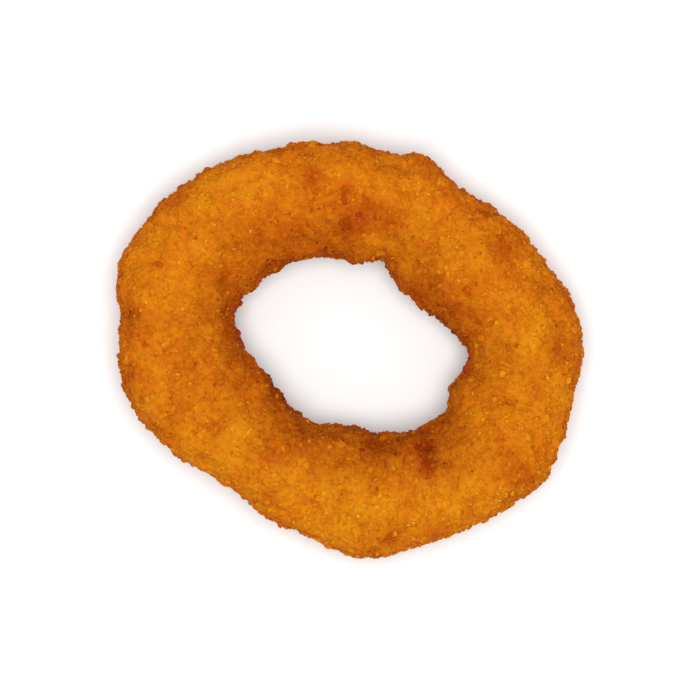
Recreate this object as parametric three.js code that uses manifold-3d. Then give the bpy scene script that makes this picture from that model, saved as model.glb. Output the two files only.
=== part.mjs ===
// One onion ring, breaded and fried, lying flat. Millimetres, +Z up.
// The origin is on the table, under the middle of the ring's bounding box.
// Angles go round the ring in degrees, counterclockwise from +X as seen from above.

import * as THREE from 'three';
import { mergeVertices } from 'three/addons/utils/BufferGeometryUtils.js';
import Module from 'manifold-3d';

// ---------- Driving dimensions ----------

// Both edges seen from above follow one oval, which is longest towards this angle.
const OVAL = { towards: 158, stretch: 3.0 };

// Near each angle "at" an edge runs outwards by "by" millimetres, or inwards where that is negative,
// and "spread" is how far in degrees this reaches to each side.
const OUTER_EDGE = {
  radius: 36.1,
  bumps: [
    { at: 3, by: 0.9, spread: 10 },
    { at: 24, by: -0.5, spread: 6 },
    { at: 49, by: -1.0, spread: 12 },
    { at: 68, by: 1.2, spread: 4 },
    { at: 80, by: -1.0, spread: 6 }, // a dent between two low corners
    { at: 90, by: 0.7, spread: 7 },
    { at: 111, by: -0.4, spread: 6 },
    { at: 144, by: 1.3, spread: 15 }, // shoulder before the blunt corner
    { at: 162, by: 2.5, spread: 8 }, // the blunt corner, the furthest point of the ring
    { at: 190, by: 2.1, spread: 17 },
    { at: 231, by: -2.2, spread: 11 }, // the long flat side
    { at: 274, by: 2.2, spread: 11 }, // the pointed corner
    { at: 323, by: 1.1, spread: 7 }, // the corner opposite the blunt one
  ],
};
const HOLE_EDGE = {
  radius: 16.2,
  bumps: [
    { at: 355, by: 1.4, spread: 9 },
    { at: 30, by: -2.6, spread: 23 }, // the long straight side of the hole
    { at: 70, by: 2.1, spread: 12 }, // its notch
    { at: 126, by: -0.5, spread: 13 },
    { at: 165, by: 1.9, spread: 16 }, // its pointed end
    { at: 202, by: -1.2, spread: 14 },
    { at: 244, by: 1.7, spread: 17 },
    { at: 300, by: 0.5, spread: 9 },
    { at: 318, by: 1.0, spread: 19 },
    { at: 336, by: -1.6, spread: 8 },
  ],
};

// How tall the ring is, and how this rises and falls: "times" waves go round the ring.
const HEIGHT = 16.4;
const HEIGHT_WAVES = [
  { by: 0.5, times: 1, towards: 200 },
  { by: 0.45, times: 3, towards: 95 },
  { by: 0.3, times: 5, towards: 20 },
];
const SECTION_POWER = { inner: 1.9, outer: 2.3 }; // 2 is an ellipse, and more is squarer
const SEAT = 0.45; // how much of the rounded underside is pressed flat

// The crust's relief: the soft unevenness of the batter, then clumps of crumb and coarse single crumbs.
const BATTER = { size: 9.0, depth: 0.6 };
const CRUMBS = [
  { size: 3.4, depth: 0.4 },
  { size: 1.9, depth: 0.36 },
];

// The crust is a net of triangles. Its corners lie in rows that run round the ring.
const ROWS = 40; // side by side round the ring's section
const STEPS = 138; // corners in a row

// The table that presses the underside flat.
const TABLE_SIZE = 120;
const TABLE_THICKNESS = 10;

const MERGE_WITHIN = 1e-4;
const CRUST_COLOUR = 0xcf7a18;
const CRUST_ROUGHNESS = 0.8;

// ---------- Small helpers ----------

const wasm = await Module();
wasm.setup();

// A closed geometry as a solid, for cutting and joining.
function solidOf(geometry) {
  const bare = new THREE.BufferGeometry();
  bare.setAttribute('position', geometry.getAttribute('position'));
  bare.setIndex(geometry.getIndex());
  const merged = mergeVertices(bare, MERGE_WITHIN);
  return new wasm.Manifold(new wasm.Mesh({
    numProp: 3,
    vertProperties: merged.attributes.position.array,
    triVerts: merged.index.array,
  }));
}

function geometryOf(solid) {
  const { vertProperties, triVerts } = solid.getMesh();
  const geometry = new THREE.BufferGeometry();
  geometry.setAttribute('position', new THREE.BufferAttribute(vertProperties, 3));
  geometry.setIndex(new THREE.BufferAttribute(triVerts, 1));
  return geometry;
}

// From -1 to 1, and always the same for the same lattice corner and draw. The numbers only have to
// be so uneven that nothing repeats.
function scatter(corner, draw = 0) {
  const { x, y, z } = corner;
  const mixed = 43758.5453 * Math.sin(127.1 * x + 311.7 * y + 74.7 * z + 19.3 * draw);
  return 2 * (mixed - Math.floor(mixed)) - 1;
}

// Smooth noise from -1 to 1, with features about one unit across.
function noise(point) {
  const low = point.clone().floor();
  const share = point.clone().sub(low);
  const blend = (axis, from, to) =>
    THREE.MathUtils.lerp(from, to, THREE.MathUtils.smoothstep(share[axis], 0, 1));
  const corner = (dx, dy, dz) => scatter({ x: low.x + dx, y: low.y + dy, z: low.z + dz });
  const alongX = (dy, dz) => blend('x', corner(0, dy, dz), corner(1, dy, dz));
  const alongY = (dz) => blend('y', alongX(0, dz), alongX(1, dz));
  return blend('z', alongY(0), alongY(1));
}

// The steps to a lattice cell's neighbours and to itself.
const SIDES = [-1, 0, 1];
const NEIGHBOURS = SIDES.flatMap((x) => SIDES.flatMap((y) => SIDES.map((z) => new THREE.Vector3(x, y, z))));

// Packed round lumps about one unit across: 1 on top of a lump, less between lumps, and 0 on average.
function lumps(point) {
  const averageSquare = 0.3; // of the distance to the nearest lump's centre
  let nearest = Infinity;
  for (const step of NEIGHBOURS) {
    const cell = point.clone().floor().add(step);
    const wander = new THREE.Vector3(scatter(cell, 1), scatter(cell, 2), scatter(cell, 3));
    const centre = cell.addScalar(0.5).addScaledVector(wander, 0.5);
    nearest = Math.min(nearest, centre.distanceToSquared(point));
  }
  return 1 - nearest / averageSquare;
}

// ---------- The ring's form ----------

// The smaller angle between two directions, in degrees.
function angleBetween(a, b) {
  const apart = Math.abs(a - b) % 360;
  return Math.min(apart, 360 - apart);
}

// How far from the ring's middle one of its two edges is, seen from above.
function edgeRadius(edge, angle) {
  const oval = OVAL.stretch * Math.cos(2 * THREE.MathUtils.degToRad(angle - OVAL.towards));
  const bump = ({ at, by, spread }) => by * Math.exp(-((angleBetween(angle, at) / spread) ** 2));
  return edge.bumps.reduce((radius, each) => radius + bump(each), edge.radius + oval);
}

function heightAt(angle) {
  const wave = ({ by, times, towards }) =>
    by * Math.cos(times * THREE.MathUtils.degToRad(angle - towards));
  return HEIGHT_WAVES.reduce((height, each) => height + wave(each), HEIGHT);
}

// How far the crust stands out at a point, or in where that is negative.
function reliefAt(point) {
  const scaled = (size) => point.clone().divideScalar(size);
  const crumbs = ({ size, depth }) => depth * lumps(scaled(size));
  return CRUMBS.reduce((sum, each) => sum + crumbs(each), BATTER.depth * noise(scaled(BATTER.size)));
}

// A sine or cosine made squarer, so that it draws a section fuller than an ellipse.
const squared = (value, power) => Math.sign(value) * Math.abs(value) ** (2 / power);

// A point of the crust. around and across go from 0 to 1, round the ring and round its section.
function crustPoint(around, across) {
  const angle = 360 * around;
  const turn = 2 * Math.PI * across;
  const outer = edgeRadius(OUTER_EDGE, angle);
  const hole = edgeRadius(HOLE_EDGE, angle);
  const halfHeight = heightAt(angle) / 2;
  const power = Math.cos(turn) > 0 ? SECTION_POWER.outer : SECTION_POWER.inner;

  const away = new THREE.Vector3(1, 0, 0)
    .applyAxisAngle(new THREE.Vector3(0, 0, 1), THREE.MathUtils.degToRad(angle));
  const middle = away.clone().multiplyScalar((outer + hole) / 2).setZ(halfHeight - SEAT);
  const arm = away.multiplyScalar(squared(Math.cos(turn), power) * (outer - hole) / 2)
    .setZ(squared(Math.sin(turn), power) * halfHeight);
  const smooth = middle.add(arm);
  return smooth.addScaledVector(arm.normalize(), reliefAt(smooth));
}

// The crust as a closed net. Every second row is shifted by half a step, so that the triangles
// lean neither way.
function crustGeometry() {
  const corners = [];
  const faces = [];
  const corner = (row, step) => (row % ROWS) * STEPS + (step % STEPS);
  for (let row = 0; row < ROWS; row++) {
    const shift = row % 2;
    for (let step = 0; step < STEPS; step++) {
      corners.push(crustPoint((step + shift / 2) / STEPS, row / ROWS));
      const [a, b] = [corner(row, step), corner(row, step + 1)];
      const [c, d] = [corner(row + 1, step), corner(row + 1, step + 1)];
      faces.push(...(shift ? [a, b, d, a, d, c] : [a, b, c, b, d, c]));
    }
  }
  return new THREE.BufferGeometry().setFromPoints(corners).setIndex(faces);
}

// ---------- The part ----------

// The crust on the table, with the middle of its bounding box over the origin.
function onionRing() {
  const table = new THREE.BoxGeometry(TABLE_SIZE, TABLE_SIZE, TABLE_THICKNESS);
  table.translate(0, 0, -TABLE_THICKNESS / 2);
  const geometry = geometryOf(solidOf(crustGeometry()).subtract(solidOf(table)));

  geometry.computeBoundingBox();
  const middle = geometry.boundingBox.getCenter(new THREE.Vector3());
  geometry.translate(-middle.x, -middle.y, 0);
  const finish = new THREE.MeshStandardMaterial({ color: CRUST_COLOUR, roughness: CRUST_ROUGHNESS });
  const ring = new THREE.Mesh(geometry, finish);
  ring.name = 'onion_ring';
  return ring;
}

const part = new THREE.Group();
part.add(onionRing());
export default part;
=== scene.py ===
# One breaded and fried onion ring on a plain pale floor, seen from straight above.
# The ring's form comes from the CAD solid. This script makes its crust of crumbs, the finish,
# the floor, the light and the camera. Lengths are in millimetres, but on the stage in metres.
# How much the crust faces up is 1 on top, 0 on a wall and -1 underneath.

import math

import bmesh
import bpy
import numpy as np
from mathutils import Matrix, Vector, noise


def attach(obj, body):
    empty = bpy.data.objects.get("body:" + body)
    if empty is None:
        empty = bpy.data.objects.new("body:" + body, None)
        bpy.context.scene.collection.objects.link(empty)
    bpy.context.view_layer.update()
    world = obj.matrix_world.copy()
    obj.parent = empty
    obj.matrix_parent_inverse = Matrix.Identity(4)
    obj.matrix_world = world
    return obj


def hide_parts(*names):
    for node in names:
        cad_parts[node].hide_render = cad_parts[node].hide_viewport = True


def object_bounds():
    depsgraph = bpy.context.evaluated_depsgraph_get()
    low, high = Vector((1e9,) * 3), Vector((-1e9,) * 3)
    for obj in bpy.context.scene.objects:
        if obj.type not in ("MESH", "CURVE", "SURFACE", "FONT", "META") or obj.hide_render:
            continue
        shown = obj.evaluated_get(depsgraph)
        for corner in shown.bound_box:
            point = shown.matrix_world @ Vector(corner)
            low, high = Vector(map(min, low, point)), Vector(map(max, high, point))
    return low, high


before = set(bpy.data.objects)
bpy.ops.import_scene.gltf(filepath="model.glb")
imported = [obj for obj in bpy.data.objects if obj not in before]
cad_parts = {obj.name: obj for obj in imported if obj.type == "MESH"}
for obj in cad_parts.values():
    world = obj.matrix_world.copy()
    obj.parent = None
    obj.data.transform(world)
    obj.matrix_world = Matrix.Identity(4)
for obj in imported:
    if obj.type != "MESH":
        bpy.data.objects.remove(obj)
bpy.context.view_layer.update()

MM = 0.001  # a millimetre in metres

# ---------- The crust ----------

SKIN_FACE = 0.39  # the width of the skin's faces
MERGE_WITHIN = 0.001  # corners of the solid nearer than this are one
SMOOTHING = {"passes": 10, "factor": 0.5}  # takes the solid's facets away

# Relief on the skin: packed grains "size" apart that stand out by "height".
CLUMPS = {"size": 2.1, "height": 0.45}
GRAINS = {"size": 0.95, "height": 0.5}
GRAIN_TINT = 0.08  # how much one grain may be browner or paler than the next
SEAT_GAP = 0.3  # how far the crust is off the table between the tallest grains underneath

# These only have to be so uneven that grains side by side get unlike tints.
TINT_WAVES = (12.9898, 78.233, 37.719)
TINT_SCALE = 43758.5453

# ---------- Crumbs ----------

# Each kind is one piece. "sizes" are its smallest and largest crumb, "corners" is how many corners a
# crumb has, "brown" says how much browner its crumbs are than the crust under them, and "sunk" is the
# share of a crumb's height that is in the crust.
CRUMB_KINDS = [
    {"name": "coarse", "count": 1800, "sizes": (0.9, 1.7), "corners": 42, "brown": 0.02, "sunk": 0.55},
    {"name": "middling", "count": 9900, "sizes": (0.55, 1.05), "corners": 12, "brown": 0.0, "sunk": 0.4},
    {"name": "small", "count": 9900, "sizes": (0.4, 0.7), "corners": 12, "brown": 0.0, "sunk": 0.35},
    {"name": "fine", "count": 20000, "sizes": (0.25, 0.45), "corners": 6, "brown": -0.03, "sunk": 0.3},
    {"name": "pale", "count": 420, "sizes": (0.5, 1.2), "corners": 12, "brown": -0.25, "sunk": 0.3},
    {"name": "dark", "count": 450, "sizes": (0.4, 0.9), "corners": 12, "brown": 0.2, "sunk": 0.4},
]
CRUMB_SKEW = 2  # above 1, a kind has more small crumbs than large ones
CRUMB_LEAN = 0.45  # how far a crumb leans away from the way out

# The least and most length, width and height of a crumb of size 1, and its usual height.
CRUMB_STRETCH = [(0.75, 0.6, 0.5), (1.3, 1.0, 0.85)]
CRUMB_HEIGHT = 0.7

CRUMB_CORNERS = (0.72, 1.22)  # how near and how far a corner is, where a smooth crumb's is at 1
ICOSPHERES = {12: 1, 42: 2}  # corners, and the subdivisions that give them
CRUMB_UNLIKE = {"browning_and_shade": 0.055, "redness_and_shade": 0.06}  # how much one crumb differs from the next
CRUMB_SEED = 20

# ---------- Browning and painted shade: 0 is pale gold and 1 is dark brown ---

BROWN_ALL_OVER = 0.31
BROWN_AND_SHADE_TO_HOLE = 0.27  # partly browning and partly painted shade, added at the hole's edge
HOLE_REACH = 0.6  # the share of the band's width over which that fades out
SHADE_AT_SIDES = 0.12  # painted shade added on the walls that face outward
BROWN_PATCHES = [
    {"size": 10.0, "by": 0.13},
    {"size": 5.0, "by": 0.13},
    {"size": 2.4, "by": 0.09},
]

SECTOR = 5  # degrees: how finely the band's edges are followed

SPOT_REACH = 0.6  # a spot has faded to a third at this share of its size from its middle
SPOT_END = -0.3  # the spots fade out down the walls, until the crust faces up by this

# Spots on top of the ring: angle in degrees, counterclockwise from +X, distance from the middle,
# size across, and how much browner they are.
SPOTS = [
    # browner
    {"angle": 0, "away": 35.8, "size": 4.0, "by": 0.22},
    {"angle": 21, "away": 18.5, "size": 4.0, "by": 0.17},
    {"angle": 24, "away": 23.5, "size": 5.0, "by": 0.12},
    {"angle": 33, "away": 30.5, "size": 3.0, "by": 0.19},
    # The spots at 46, 57 and 67 degrees near the outer edge are partly browning and partly painted
    # shade.
    {"angle": 46, "away": 33.0, "size": 4.0, "by": 0.1},
    {"angle": 54, "away": 21.0, "size": 3.5, "by": 0.12},
    {"angle": 57, "away": 32.0, "size": 4.0, "by": 0.12},
    {"angle": 67, "away": 33.8, "size": 4.0, "by": 0.15},
    {"angle": 72, "away": 22.8, "size": 3.5, "by": 0.12},
    {"angle": 82, "away": 24.0, "size": 4.5, "by": 0.2},
    {"angle": 91, "away": 21.0, "size": 3.5, "by": 0.28},
    {"angle": 91, "away": 27.0, "size": 2.4, "by": 0.17},
    {"angle": 99, "away": 28.5, "size": 5.0, "by": 0.12},
    {"angle": 103, "away": 30.0, "size": 3.0, "by": 0.24},
    {"angle": 151, "away": 24.5, "size": 2.4, "by": 0.2},
    {"angle": 172, "away": 35.0, "size": 7.0, "by": 0.18},
    {"angle": 182, "away": 29.0, "size": 6.0, "by": 0.12},
    {"angle": 188, "away": 35.2, "size": 5.0, "by": 0.1},
    {"angle": 192, "away": 22.7, "size": 5.0, "by": 0.12},
    {"angle": 218, "away": 17.0, "size": 4.0, "by": 0.15},
    {"angle": 232, "away": 23.0, "size": 4.0, "by": 0.16},
    {"angle": 237, "away": 17.5, "size": 5.0, "by": 0.1},
    {"angle": 243, "away": 27.5, "size": 4.0, "by": 0.1},
    {"angle": 252, "away": 18.5, "size": 5.0, "by": 0.11},
    {"angle": 283, "away": 32.5, "size": 2.4, "by": 0.2},
    {"angle": 284, "away": 17.0, "size": 5.0, "by": 0.18},
    {"angle": 296, "away": 18.5, "size": 3.5, "by": 0.14},
    {"angle": 297, "away": 25.4, "size": 4.0, "by": 0.08},
    {"angle": 304, "away": 23.6, "size": 3.3, "by": 0.42},
    {"angle": 308, "away": 21.1, "size": 3.0, "by": 0.3},
    {"angle": 319, "away": 22.7, "size": 3.5, "by": 0.1},
    {"angle": 325, "away": 35.0, "size": 4.5, "by": 0.18},
    # paler
    {"angle": 5, "away": 31.0, "size": 6.0, "by": -0.1},
    {"angle": 20, "away": 28.5, "size": 3.5, "by": -0.11},
    {"angle": 55, "away": 17.3, "size": 5.0, "by": -0.2},
    {"angle": 61, "away": 25.0, "size": 4.0, "by": -0.12},
    {"angle": 74, "away": 18.5, "size": 4.5, "by": -0.22},
    {"angle": 120, "away": 32.5, "size": 7.0, "by": -0.1},
    {"angle": 124, "away": 22.5, "size": 4.0, "by": -0.14},
    {"angle": 135, "away": 34.5, "size": 6.0, "by": -0.17},
    {"angle": 144, "away": 27.0, "size": 3.5, "by": -0.1},
    {"angle": 161, "away": 26.0, "size": 5.0, "by": -0.16},
    {"angle": 166, "away": 32.1, "size": 4.0, "by": -0.1},
    {"angle": 207, "away": 28.8, "size": 4.0, "by": -0.11},
    {"angle": 212, "away": 31.8, "size": 5.0, "by": -0.2},
    {"angle": 214, "away": 22.2, "size": 4.0, "by": -0.1},
    {"angle": 218, "away": 24.0, "size": 6.0, "by": -0.12},
    {"angle": 229, "away": 25.5, "size": 4.0, "by": -0.1},
    {"angle": 260, "away": 30.5, "size": 6.0, "by": -0.1},
    {"angle": 264, "away": 22.5, "size": 4.0, "by": -0.12},
    {"angle": 276, "away": 28.0, "size": 7.0, "by": -0.15},
    {"angle": 305, "away": 33.5, "size": 6.0, "by": -0.11},
    {"angle": 315, "away": 35.0, "size": 3.5, "by": -0.11},
    {"angle": 328, "away": 25.8, "size": 3.5, "by": -0.12},
    {"angle": 334, "away": 24.0, "size": 2.5, "by": -0.2},
    {"angle": 337, "away": 30.0, "size": 6.0, "by": -0.13},
    {"angle": 353, "away": 33.0, "size": 3.0, "by": -0.12},
]

# ---------- Redness and painted reddish shade: above 0 the same crust is redder, and below 0 yellower ---

RED_SIDE = {"towards": 100, "by": 0.17}  # the side that is redder, and by how much
RED_PATCHES = [
    {"size": 8.0, "by": 0.43},
    {"size": 3.5, "by": 0.36},
    {"size": 1.6, "by": 0.35},
]
RED_IN_SPOTS = 1.2  # how much redder a spot is for how much browner it is
RED_IN_GRAINS = 5.0  # the same for a grain, a crumb or a fleck
RED_SHADE_DOWN = {"by": 0.8, "end": 0.6}  # painted reddish shade: added underneath, and fades out until the crust faces up by "end"
RED_SHIFT = 2700.0  # between the two patterns' noise, so that they are unlike
RED_HUE = 0.01  # what a redness of 1 takes off the colour's hue
HUE_AS_IS = 0.5  # the hue setting that changes nothing

# ---------- Finish ----------

# The crust's colour for a browning and painted shade from 0 to 1.
CRUST_COLOURS = [
    (0.0, (0.665, 0.25, 0.007)),
    (0.3, (0.548, 0.16, 0.004)),
    (0.5, (0.43, 0.1, 0.003)),
    (0.75, (0.255, 0.038, 0.001)),
    (1.0, (0.12, 0.012, 0.0008)),
]
FLECK_SIZE = 0.9
MOTTLE = {"crust": 0.16, "crumbs": 0.12}  # how much browner the brownest fleck is than the palest
ROUGHNESS = {"least": 0.5, "more": 0.25, "size": 1.5}  # up to "more" is added in patches of this size
PORES = {"size": 0.22, "depth": 0.12, "strength": 0.5}
GLOSS = 0.02
NOISE_DETAIL = 3.0  # how many finer layers each of these patterns has

# Light that comes out of the crust beside where it went in, red light furthest away.
SUBSURFACE = {"weight": 0.15, "scale": 0.6, "radius": (1.0, 0.4, 0.1)}

# ---------- Stage ----------

CAMERA_HEIGHT = 0.75
RING_SHARE = 0.66  # how much of the picture's width the ring takes
FLOOR = {"size": 4.0, "colour": (0.815, 0.83, 0.829), "roughness": 0.9, "gloss": 0.1}
KEY_LIGHT = {"place": (0.015, -0.07, 0.9), "size": 0.7, "power": 7}
SKY_STRENGTH = 0.7


# ---------- Helpers ----------

def new_object(name, mesh):
    piece = bpy.data.objects.new(name, mesh)
    bpy.context.scene.collection.objects.link(piece)
    return piece


def give_values(mesh, name, values):
    """Writes one number for each vertex, which a material reads by this name."""
    attribute = mesh.attributes.new(name, "FLOAT", "POINT")
    attribute.data.foreach_set("value", np.asarray(values, np.float32))


def values_of(items, name, width=1, kind=np.float32):
    """What each of a mesh's items holds under this name, as an array of rows this wide."""
    values = np.empty(len(items) * width, kind)
    items.foreach_get(name, values)
    return values.reshape(-1, width)


def points_of(mesh):
    return values_of(mesh.vertices, "co", 3) / MM


def normals_of(mesh):
    """The way out at each vertex."""
    return values_of(mesh.vertex_normals, "vector", 3)


def unit(vectors):
    return vectors / np.linalg.norm(vectors, axis=-1, keepdims=True)


def soft_noise(points, size):
    """Smooth noise from about -1 to 1, with features "size" across."""
    return np.array([noise.noise(Vector(p)) for p in points / size])


def grains(points, size):
    """Packed round grains "size" apart. Gives the height at each point, from about 0.5 on top of a
    grain to -0.5 between grains, and a number from 0 to 1 that is the same all over one grain."""
    found = [noise.voronoi(Vector(p)) for p in points / size]
    heights = np.array([0.5 - distances[0] for distances, _ in found])
    middles = np.array([centres[0] for _, centres in found])
    return heights, (np.sin(middles @ TINT_WAVES) * TINT_SCALE) % 1


def smooth_step(value):
    """From 0 to 1 as the value goes from 0 to 1, without a kink at either end."""
    share = np.clip(value, 0, 1)
    return share * share * (3 - 2 * share)


def polar(points):
    """The direction in degrees and the distance from the middle, seen from above."""
    angle = np.degrees(np.arctan2(points[:, 1], points[:, 0])) % 360
    return angle, np.hypot(points[:, 0], points[:, 1])


# ---------- Browning and redness ----------

def patchy(points, patches):
    return sum(patch["by"] * soft_noise(points, patch["size"]) for patch in patches)


def spotty(points, normals):
    """How much browner the spots make each point, a few of them with painted shade. They are on top, and
    fade out down the sides.
    """
    top = np.clip(normals[:, 2] - SPOT_END, 0, 1)
    value = np.zeros(len(points))
    for spot in SPOTS:
        angle = math.radians(spot["angle"])
        middle = spot["away"] * np.array([math.cos(angle), math.sin(angle)])
        distance = np.hypot(*(points[:, :2] - middle).T)
        value += spot["by"] * top * np.exp(-(distance / (SPOT_REACH * spot["size"])) ** 2)
    return value


def band_edges(points):
    """The radius of the hole and of the ring in every direction, seen from above."""
    angle, away = polar(points)
    sector = (angle / SECTOR).astype(int)
    sectors = range(360 // SECTOR)
    hole, outer = ([pick(away[sector == each]) for each in sectors] for pick in (np.min, np.max))
    middles = (np.array(sectors) + 0.5) * SECTOR
    return middles, np.array(hole), np.array(outer)


def browning_and_shade(points, normals, band):
    """How brown the crust is at each point, from 0 to 1, with painted shade added towards the hole's
    edge, on the walls that face outward and in a few spots near the outer edge.
    """
    angle, away = polar(points)
    middles, hole, outer = band
    hole_there, outer_there = (np.interp(angle, middles, edge, period=360) for edge in (hole, outer))
    across = (away - hole_there) / (outer_there - hole_there)
    outward = (normals[:, :2] * points[:, :2]).sum(1) / away
    value = np.full(len(points), BROWN_ALL_OVER)
    # Painted shade, with some browning, on the hole's side of the band.
    value += BROWN_AND_SHADE_TO_HOLE * smooth_step(1 - across / HOLE_REACH)
    # Painted shade on the walls that face outward.
    value += SHADE_AT_SIDES * np.clip(outward, 0, 1) ** 2
    return value + patchy(points, BROWN_PATCHES) + spotty(points, normals)


def redness_and_shade(points, normals):
    """How red the crust is at each point, apart from how red its browning makes it, with a painted
    reddish shade on the walls and underneath.
    """
    angle, _ = polar(points)
    value = RED_SIDE["by"] * np.cos(np.radians(angle - RED_SIDE["towards"]))
    # Painted reddish shade on the walls and underneath.
    value += RED_SHADE_DOWN["by"] * np.clip(RED_SHADE_DOWN["end"] - normals[:, 2], 0, 1)
    value += RED_IN_SPOTS * spotty(points, normals)
    return value + patchy(points + RED_SHIFT, RED_PATCHES)


# ---------- The skin ----------

def smooth_copy(node):
    """The solid's surface as small even faces, without its facets."""
    mesh = node.data.copy()
    form = bmesh.new()
    form.from_mesh(mesh)
    bmesh.ops.remove_doubles(form, verts=form.verts, dist=MERGE_WITHIN * MM)
    form.to_mesh(mesh)
    form.free()
    mesh.materials.clear()

    rough = new_object("rough", mesh)
    remesh = rough.modifiers.new("remesh", "REMESH")
    remesh.mode = "VOXEL"
    remesh.voxel_size = SKIN_FACE * MM
    smooth = rough.modifiers.new("smooth", "SMOOTH")
    smooth.factor = SMOOTHING["factor"]
    smooth.iterations = SMOOTHING["passes"]
    graph = bpy.context.evaluated_depsgraph_get()
    fine = bpy.data.meshes.new_from_object(rough.evaluated_get(graph))
    bpy.data.objects.remove(rough)
    bpy.data.meshes.remove(mesh)
    return fine


def make_skin(node):
    """The crust's grainy surface, and the edges of the band that it makes."""
    mesh = smooth_copy(node)
    mesh.name = "crust"
    points, normals = points_of(mesh), normals_of(mesh)
    clump_height, _ = grains(points, CLUMPS["size"])
    grain_height, grain_tint = grains(points, GRAINS["size"])
    relief = CLUMPS["height"] * clump_height + GRAINS["height"] * grain_height
    band = band_edges(points)
    browner = GRAIN_TINT * (grain_tint - 0.5)
    give_values(mesh, "browning_and_shade", browning_and_shade(points, normals, band) + browner)
    give_values(mesh, "redness_and_shade", redness_and_shade(points, normals) + RED_IN_GRAINS * browner)

    points = points + normals * relief[:, None]
    points[:, 2] += SEAT_GAP * np.clip(-normals[:, 2], 0, 1) ** 2
    points[:, 2] = np.maximum(points[:, 2], 0)
    mesh.vertices.foreach_set("co", (points * MM).astype(np.float32).ravel())
    mesh.update()
    mesh.shade_smooth()
    return new_object("crust", mesh), band


# ---------- Crumbs ----------

def ball(corners):
    """A unit ball's corners and faces, with 6, 12 or 42 corners."""
    form = bmesh.new()
    if corners == 6:
        bmesh.ops.create_uvsphere(form, u_segments=4, v_segments=2, radius=1)
    else:
        bmesh.ops.create_icosphere(form, subdivisions=ICOSPHERES[corners], radius=1)
    points = np.array([v.co for v in form.verts])
    faces = np.array([[v.index for v in face.verts] for face in form.faces])
    form.free()
    return points, faces


def places_on(mesh, count, draw):
    """Random points all over a mesh, and the way out at each."""
    mesh.calc_loop_triangles()
    corners = values_of(mesh.loop_triangles, "vertices", 3, np.int32)
    areas = values_of(mesh.loop_triangles, "area").ravel()
    chosen = corners[draw.choice(len(corners), count, p=areas / areas.sum(dtype=float))]
    shares = draw.dirichlet((1, 1, 1), count)[:, :, None]
    points = (points_of(mesh)[chosen] * shares).sum(1)
    out = (normals_of(mesh)[chosen] * shares).sum(1)
    return points, unit(out)


def crumb_forms(kind, places, out, draw):
    """The corners and faces of a kind's crumbs, one uneven crumb at each place."""
    count = len(places)
    ball_points, ball_faces = ball(kind["corners"])
    smallest, largest = kind["sizes"]
    size = smallest + (largest - smallest) * draw.random(count) ** CRUMB_SKEW

    across = unit(np.cross(out, draw.normal(size=(count, 3))))
    along = np.cross(out, across)
    lean = unit(out + CRUMB_LEAN * draw.normal(size=(count, 3)))
    axes = np.stack([across, along, lean], axis=1)
    stretch = draw.uniform(*CRUMB_STRETCH, (count, 3)) * size[:, None] / 2
    uneven = draw.uniform(*CRUMB_CORNERS, (count, len(ball_points), 1))
    local = ball_points[None] * uneven * stretch[:, None, :]
    middles = places + out * ((0.5 - kind["sunk"]) * size * CRUMB_HEIGHT)[:, None]
    points = middles[:, None, :] + local @ axes
    lowest = points[:, :, 2].min(1)
    points[:, :, 2] += np.maximum(-lowest, 0)[:, None]

    faces = ball_faces[None] + (np.arange(count) * len(ball_points))[:, None, None]
    return points.reshape(-1, 3), faces.reshape(-1, 3)


def make_crumbs(kind, skin, band, draw):
    """Broken bits of bread stuck on the skin, as one mesh."""
    count = kind["count"]
    places, out = places_on(skin.data, count, draw)
    points, faces = crumb_forms(kind, places, out, draw)
    name = "crumbs_" + kind["name"]
    mesh = bpy.data.meshes.new(name)
    mesh.from_pydata(points * MM, [], faces.tolist())

    browner = draw.normal(0, CRUMB_UNLIKE["browning_and_shade"], count)
    redder = RED_IN_GRAINS * browner + draw.normal(0, CRUMB_UNLIKE["redness_and_shade"], count)
    # The crumb's browning, with the painted shade of the place where it sits.
    brown = browning_and_shade(places, out, band) + kind["brown"] + browner
    red_and_shade = redness_and_shade(places, out) + redder
    give_values(mesh, "browning_and_shade", np.repeat(brown, kind["corners"]))
    give_values(mesh, "redness_and_shade", np.repeat(red_and_shade, kind["corners"]))
    return new_object(name, mesh)


# ---------- Materials ----------

def new_material(name):
    """A material, its node tree and its shader."""
    material = bpy.data.materials.new(name)
    material.use_nodes = True
    return material, material.node_tree, material.node_tree.nodes["Principled BSDF"]


def add(tree, kind, **settings):
    node = tree.nodes.new(kind)
    for name, value in settings.items():
        setattr(node, name, value)
    return node


def scaled(tree, value, factor, more):
    """An output times a factor, plus more, which is a number or an output too."""
    node = add(tree, "ShaderNodeMath", operation="MULTIPLY_ADD")
    tree.links.new(value, node.inputs[0])
    node.inputs[1].default_value = factor
    if isinstance(more, float):
        node.inputs[2].default_value = more
    else:
        tree.links.new(more, node.inputs[2])
    return node.outputs[0]


def noise_texture(tree, size):
    """Noise from 0 to 1 with features of about this size."""
    place = add(tree, "ShaderNodeTexCoord")
    texture = add(tree, "ShaderNodeTexNoise")
    texture.inputs["Scale"].default_value = 1 / (size * MM)
    texture.inputs["Detail"].default_value = NOISE_DETAIL
    tree.links.new(place.outputs["Object"], texture.inputs["Vector"])
    return texture.outputs["Fac"]


def with_flecks(tree, name, flecks, by):
    """A mesh's values of this name, with flecks in which they are up to half of "by" more or less."""
    value = add(tree, "ShaderNodeAttribute", attribute_name=name).outputs["Fac"]
    return scaled(tree, flecks, by, scaled(tree, value, 1.0, -by / 2))


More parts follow.
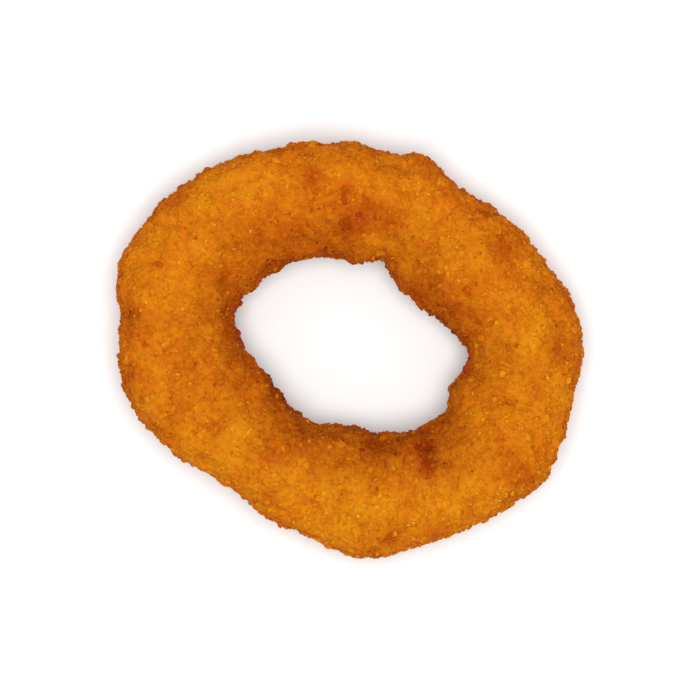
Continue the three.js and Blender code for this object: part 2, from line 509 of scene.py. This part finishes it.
def crust_colour(tree, mottle):
    """From gold to brown with the browning and painted shade, and from yellower to redder with the
    redness and painted reddish shade.
    """
    flecks = noise_texture(tree, FLECK_SIZE)
    brown = with_flecks(tree, "browning_and_shade", flecks, mottle)
    red_and_shade = with_flecks(tree, "redness_and_shade", flecks, RED_IN_GRAINS * mottle)

    ramp = add(tree, "ShaderNodeValToRGB")
    elements = ramp.color_ramp.elements
    while len(elements) < len(CRUST_COLOURS):
        elements.new(0.5)  # anywhere, as the next lines place it
    for element, (position, colour) in zip(elements, CRUST_COLOURS):
        element.position = position
        element.color = (*colour, 1)
    tree.links.new(brown, ramp.inputs["Fac"])

    tint = add(tree, "ShaderNodeHueSaturation")
    tree.links.new(scaled(tree, red_and_shade, -RED_HUE, HUE_AS_IS), tint.inputs["Hue"])
    tree.links.new(ramp.outputs["Color"], tint.inputs["Color"])
    return tint.outputs["Color"]


def crust_pores(tree):
    bump = add(tree, "ShaderNodeBump")
    bump.inputs["Strength"].default_value = PORES["strength"]
    bump.inputs["Distance"].default_value = PORES["depth"] * MM
    tree.links.new(noise_texture(tree, PORES["size"]), bump.inputs["Height"])
    return bump.outputs["Normal"]


def crust_material(name):
    """Fried crumb, nearly dull and finely porous."""
    material, tree, shader = new_material(name)
    patches = noise_texture(tree, ROUGHNESS["size"])
    rough = scaled(tree, patches, ROUGHNESS["more"], ROUGHNESS["least"])
    tree.links.new(crust_colour(tree, MOTTLE[name]), shader.inputs["Base Color"])
    tree.links.new(rough, shader.inputs["Roughness"])
    tree.links.new(crust_pores(tree), shader.inputs["Normal"])
    shader.inputs["Specular IOR Level"].default_value = GLOSS
    shader.inputs["Subsurface Weight"].default_value = SUBSURFACE["weight"]
    shader.inputs["Subsurface Radius"].default_value = SUBSURFACE["radius"]
    shader.inputs["Subsurface Scale"].default_value = SUBSURFACE["scale"] * MM
    return material


def floor_material():
    material, _, shader = new_material("floor")
    shader.inputs["Base Color"].default_value = (*FLOOR["colour"], 1)
    shader.inputs["Roughness"].default_value = FLOOR["roughness"]
    shader.inputs["Specular IOR Level"].default_value = FLOOR["gloss"]
    return material


# ---------- Stage ----------

def make_floor():
    mesh = bpy.data.meshes.new("floor")
    half = FLOOR["size"] / 2
    corners = [(-half, -half, 0), (half, -half, 0), (half, half, 0), (-half, half, 0)]
    mesh.from_pydata(corners, [], [(0, 1, 2, 3)])
    mesh.materials.append(floor_material())
    new_object("floor", mesh)


def light_ring():
    """A large soft lamp that shines on the ring from above."""
    lamp = bpy.data.lights.new("key", "AREA")
    lamp.shape = "DISK"
    lamp.size = KEY_LIGHT["size"]
    lamp.energy = KEY_LIGHT["power"]
    light = new_object("key", lamp)
    light.location = KEY_LIGHT["place"]
    light.rotation_euler = (-light.location).to_track_quat("-Z", "Y").to_euler()


def light_room():
    """White light from all round."""
    world = bpy.data.worlds.new("studio")
    world.use_nodes = True
    sky = world.node_tree.nodes["Background"]
    sky.inputs["Color"].default_value = (1, 1, 1, 1)
    sky.inputs["Strength"].default_value = SKY_STRENGTH
    bpy.context.scene.world = world


def make_camera():
    """Looks straight down on the middle of the ring, and shows the colours as they are."""
    data = bpy.data.cameras.new("camera")
    camera = new_object("camera", data)
    low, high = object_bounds()
    width = (high[0] - low[0]) / RING_SHARE
    data.angle = 2 * math.atan(width / 2 / CAMERA_HEIGHT)
    camera.location = ((low[0] + high[0]) / 2, (low[1] + high[1]) / 2, CAMERA_HEIGHT)
    bpy.context.scene.camera = camera
    bpy.context.scene.view_settings.view_transform = "Standard"


# ---------- The whole ----------

make_camera()
light_ring()
light_room()
make_floor()

skin, band = make_skin(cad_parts["onion_ring"])
skin.data.materials.append(crust_material("crust"))
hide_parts("onion_ring")

draw = np.random.default_rng(CRUMB_SEED)
crumb_material = crust_material("crumbs")
pieces = [skin]
for kind in CRUMB_KINDS:
    piece = make_crumbs(kind, skin, band, draw)
    piece.data.materials.append(crumb_material)
    pieces.append(piece)

for piece in pieces:
    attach(piece, "root")
